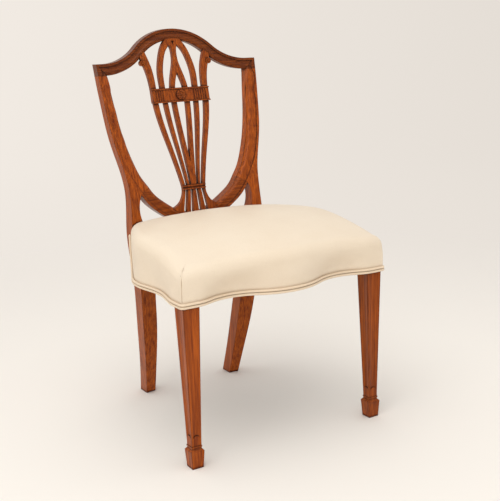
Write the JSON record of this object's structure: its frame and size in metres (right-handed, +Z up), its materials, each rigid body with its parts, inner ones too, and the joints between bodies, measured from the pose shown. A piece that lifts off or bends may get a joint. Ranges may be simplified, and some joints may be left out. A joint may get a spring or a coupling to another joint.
{
  "type": "shield back dining chair",
  "caption": "Polished mahogany side chair with a pierced shield back, tapered legs on spade feet and a serpentine fronted cream leather seat with double piping.",
  "frame": {"origin": "on the floor under the middle of the chair's bounding box", "axes": "+Z up, the front of the chair faces -Y, +X to the right in a front view"},
  "size_m": [0.5394, 0.5648, 0.94],
  "materials": {
    "mahogany": "gloss",
    "beech": "matte",
    "leather": "satin",
    "calico": "matte",
    "stuffing": "matte",
    "hessian": "matte",
    "webbing": "matte",
    "dust_cloth": "matte",
    "steel": "satin"
  },
  "bodies": {
    "root": {"rear_post_right": "mahogany", "rear_post_left": "mahogany", "crest_rail": "mahogany", "lower_shield_rail": "mahogany", "splat": "mahogany", "front_leg_right": "mahogany", "front_leg_left": "mahogany", "front_seat_rail": "beech", "rear_seat_rail": "beech", "side_seat_rail_right": "beech", "side_seat_rail_left": "beech", "corner_block_front_right": "beech", "corner_block_front_left": "beech", "corner_block_rear_right": "beech", "corner_block_rear_left": "beech", "seat_cover": "leather", "seat_piping": "leather", "seat_lining": "calico", "seat_stuffing": "stuffing", "hessian": "hessian", "webbing_lengthwise": "webbing", "webbing_crosswise": "webbing", "dust_cover": "dust_cloth", "corner_block_screws": "steel", "webbing_tacks": "steel", "dust_cover_tacks": "steel"}
  },
  "joints": []
}
